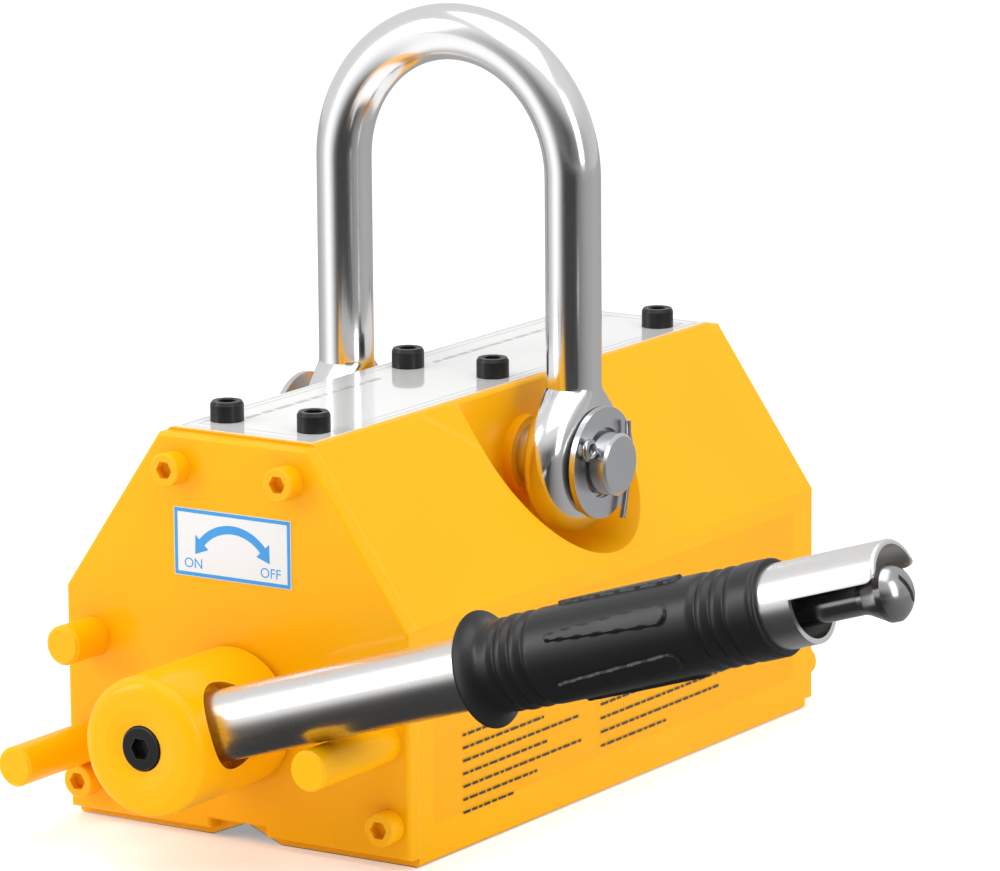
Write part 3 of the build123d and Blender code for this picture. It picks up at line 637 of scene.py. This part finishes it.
# ------------------------------------------------------------------ lever
# A ground steel tube with a slotted guard sleeve over its end, a moulded rubber grip with rings
# and six raised pads, and a polished latch knob inside the sleeve.
hub_centre = Vector(joints["lever_turn"]["pos_m"])
low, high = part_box("lever_tube")
hub_centre.y = (low.y + high.y) / 2
lever_way = Vector(joints["latch_pull"]["axis"]).normalized()
lever_side = Vector((0, 1, 0))
lever_turn = Matrix((lever_way, lever_side, lever_way.cross(lever_side))).transposed().to_4x4()
lever_place = Matrix.Translation(hub_centre) @ lever_turn

satin_steel = metal("satin_steel", (0.80, 0.79, 0.78), 0.28, axis=tuple(lever_way), spread=0.04,
                    depth=0.003 * mm)
polished_steel = metal("polished_steel", (0.82, 0.82, 0.83), 0.17, spread=0.03,
                       depth=0.0015 * mm, edge=0.8)
pin_steel = metal("pin_steel", (0.66, 0.67, 0.69), 0.24, spread=0.04, depth=0.002 * mm, edge=1.0)
dark_steel = metal("dark_steel", (0.42, 0.42, 0.43), 0.2, spread=0.04, depth=0.002 * mm)
dress(satin_steel, "lever_tube", "lever_root_plug", "guard_sleeve")
dress(pin_steel, "lifting_pin", "pin_washers")
dress(dark_steel, "latch_rod", "cotter_pins")

rubber, tree, shader = finish("grip_rubber", (0.010, 0.010, 0.011), 0.0, 0.34, Specular_IOR_Level=0.42)
skin = use(tree, mottle, Patch_Scale=60.0, Grain_Scale=1600.0)
tree.links.new(blend_value(tree, skin["Patches"], 0.30, 0.44), shader.inputs["Roughness"])
raise_surface(tree, shader, skin["Grain"], 0.008 * mm)

# the grip's sizes are in millimetres, its places along the lever from the hub's axis
grip_start = 111.6
grip_end = 210.8
grip_bore_r = 10.6
grip_r = 13.7
neck_r = 13.0
neck_start = 117.0
neck_length = 6.0
flange_rise = 4.3
flange_length = 5.6
flange_power = 2.4
flange_round = 0.5
flange_round_length = 0.45
end_round = 0.7
sleeve_r = 12.0
ring_grooves = (122.5, 127.4, 132.2, 190.8, 195.4, 200.1)
groove_depth = 0.95
groove_reach = 1.15
lip_groove = 209.3
lip_depth = 0.35
lip_reach = 0.5
pads_start = 141.3
pads_end = 182.3
pad_height = 0.9
pad_edge = 0.35
pad_tip_r = 0.8
pad_end_r = 2.9
pad_spacing = 60.0
first_pad_angle = 26.0
grooves = [(place, groove_depth, groove_reach) for place in ring_grooves]
grooves.append((lip_groove, lip_depth, lip_reach))


def clamp(value):
    """Value kept between 0 and 1."""
    return min(1.0, max(0.0, value))


def smooth_step(value):
    """0 to 1 with soft ends."""
    return value * value * (3 - 2 * value)


def grip_radius(tau):
    """Radius of the grip's skin at a place along the lever."""
    flare = max(0.0, 1.0 - (tau - grip_start) / flange_length)
    neck = clamp((tau - neck_start) / neck_length)
    radius = neck_r + (grip_r - neck_r) * neck + flange_rise * flare ** flange_power
    radius -= flange_round * max(0.0, 1.0 - (tau - grip_start) / flange_round_length) ** 2
    for place, depth, reach in grooves:
        radius -= depth * math.exp(-((tau - place) / reach) ** 2)
    return radius - end_round * max(0.0, 1.0 - (grip_end - tau) / end_round) ** 2


def pad_rise(tau, around):
    """Height of the six raised pads; around is degrees from the front."""
    slip = (around - first_pad_angle + pad_spacing / 2) % pad_spacing - pad_spacing / 2
    across = math.radians(slip) * grip_r
    first = pads_start + pad_tip_r
    reach = pads_end - pad_end_r - pads_start - pad_tip_r
    share = clamp((tau - first) / reach)
    centre = first + share * reach
    radius = pad_tip_r + (pad_end_r - pad_tip_r) * share ** 0.8
    inside = clamp((radius - math.hypot(tau - centre, across)) / pad_edge + 0.5)
    return pad_height * smooth_step(inside)


grip_places = [grip_start + 0.12 * step for step in range(6)]
while grip_places[-1] < grip_end - 0.5:
    step = 0.36 if pads_start - 2 < grip_places[-1] < pads_end + 2 else 0.42
    grip_places.append(grip_places[-1] + step)
grip_places.append(grip_end)
skin_points = [(tau, grip_radius(tau)) for tau in grip_places]
profile = [(grip_start, grip_bore_r)] + skin_points + [(grip_end, sleeve_r)]
bm = bmesh.new()
chain = [bm.verts.new((tau * mm, 0, radius * mm)) for tau, radius in profile]
edges = [bm.edges.new(pair) for pair in zip(chain, chain[1:])]
bmesh.ops.spin(bm, geom=chain + edges, cent=(0, 0, 0), axis=(1, 0, 0), angle=math.tau, steps=240,
               use_merge=True)
for vert in bm.verts:
    tau = vert.co.x / mm
    if pads_start < tau < pads_end:
        around = math.degrees(math.atan2(vert.co.z, -vert.co.y))
        reach = math.hypot(vert.co.y, vert.co.z)
        scale = 1 + pad_rise(tau, around) * mm / reach
        vert.co.y *= scale
        vert.co.z *= scale
bmesh.ops.transform(bm, matrix=lever_place, verts=bm.verts)
grip = new_piece("grip_skin", bm, "lever", rubber, smooth_under=55)
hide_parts("grip")

# ------------------------------------------------------------------ shackle
# One forged bar: a bow, two straight legs, and two flattened eyes that the legs flow into.
low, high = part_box("shackle")
eye_z = joints["shackle_swing"]["pos_m"][2]
bow_x = (low.x + high.x) / 2
eye_half = 8.7 * mm
rod_r = 8.5 * mm
eye_r = eye_z - low.z
half_span = (high.x - low.x) / 2 - eye_half
bow_z = high.z - rod_r - half_span - 0.01 * mm
eye_squareness = 2.8
eye_blend = 9 * mm
leg_start = 4 * mm         # above the pin's axis, where the eye begins to turn round
leg_turn = 22 * mm
pin_bore_r = 9.55 * mm


def eye_reach(angle, rise):
    """Distance from the leg's axis to the eye's skin, at a height from the pin's axis."""
    near, far = 0.0, eye_r
    for _ in range(30):
        middle = (near + far) / 2
        thick = abs(middle * math.cos(angle)) / eye_half
        wide = math.hypot(middle * math.sin(angle), rise) / eye_r
        if thick ** eye_squareness + wide ** eye_squareness < 1:
            near = middle
        else:
            far = middle
    return near


def leg_reach(angle, rise):
    """Distance from the leg's axis to its skin, as the eye narrows into the round leg."""
    if rise <= 0:
        return eye_reach(angle, rise)
    eye_depth = math.sqrt(max(0.0, eye_r * eye_r - rise * rise))
    overlap = max(0.0, eye_blend - abs(eye_depth - rod_r)) / eye_blend
    depth = max(eye_depth, rod_r) + overlap * overlap * eye_blend / 4
    share = smooth_step(clamp((rise - leg_start) / leg_turn))
    thick = eye_half + (rod_r - eye_half) * share
    power = eye_squareness + (2 - eye_squareness) * share
    total = (abs(math.cos(angle)) / thick) ** power + (abs(math.sin(angle)) / depth) ** power
    return total ** (-1 / power)


def shape_ring(edges, rise):
    """Pull one ring of the leg, drawn round the Z axis, to the shackle's skin."""
    for vert in {vert for edge in edges for vert in edge.verts}:
        angle = math.atan2(vert.co.y, vert.co.x)
        reach = min(leg_reach(angle, rise), eye_half / max(abs(math.cos(angle)), 1e-6))
        vert.co = Vector((reach * math.cos(angle), reach * math.sin(angle), rise))


def carve(obj, cutter_bm, smooth_under):
    """Cut a closed shape out of a piece."""
    cutter_mesh = bpy.data.meshes.new("cutter")
    cutter_bm.to_mesh(cutter_mesh)
    cutter_bm.free()
    cutter = bpy.data.objects.new("cutter", cutter_mesh)
    bpy.context.scene.collection.objects.link(cutter)
    cut = obj.modifiers.new("cut", "BOOLEAN")
    cut.operation = "DIFFERENCE"
    cut.solver = "EXACT"
    cut.object = cutter
    graph = bpy.context.evaluated_depsgraph_get()
    carved = bpy.data.meshes.new_from_object(obj.evaluated_get(graph))
    obj.modifiers.clear()
    obj.data = carved
    carved.shade_smooth()
    carved.set_sharp_from_angle(angle=math.radians(smooth_under))
    bpy.data.objects.remove(cutter)


rises = [-eye_r * math.cos(math.radians(3 * step)) for step in range(1, 30)]
rises += [0.8 * mm * step for step in range(45)]
bm = bmesh.new()
bmesh.ops.create_circle(bm, segments=64, radius=rod_r, cap_ends=False)
loop = list(bm.edges)
shape_ring(loop, rises[0])
bmesh.ops.contextual_create(bm, geom=loop)
for rise in rises[1:]:
    loop = loop_up(bm, loop, 0)
    shape_ring(loop, rise)
loop = loop_up(bm, loop, bow_z - eye_z - rises[-1])
bmesh.ops.translate(bm, verts=bm.verts, vec=(half_span, 0, eye_z))
ends = list({vert for edge in loop for vert in edge.verts})
bmesh.ops.spin(bm, geom=ends + loop, cent=(0, 0, bow_z), axis=(0, -1, 0), angle=math.pi / 2,
               steps=32)
bmesh.ops.mirror(bm, geom=bm.verts[:] + bm.edges[:] + bm.faces[:], matrix=Matrix.Identity(4),
                 merge_dist=0.01 * mm, axis="X")
bmesh.ops.translate(bm, verts=bm.verts, vec=(bow_x, 0, 0))
shackle = new_piece("forged_shackle", bm, "shackle", polished_steel)
bm = bmesh.new()
bore_place = Matrix.Translation((bow_x, 0, eye_z)) @ Matrix.Rotation(math.radians(90), 4, "Y")
bmesh.ops.create_cone(bm, cap_ends=True, segments=96, radius1=pin_bore_r, radius2=pin_bore_r,
                      depth=140 * mm, matrix=bore_place)
carve(shackle, bm, 35)
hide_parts("shackle")
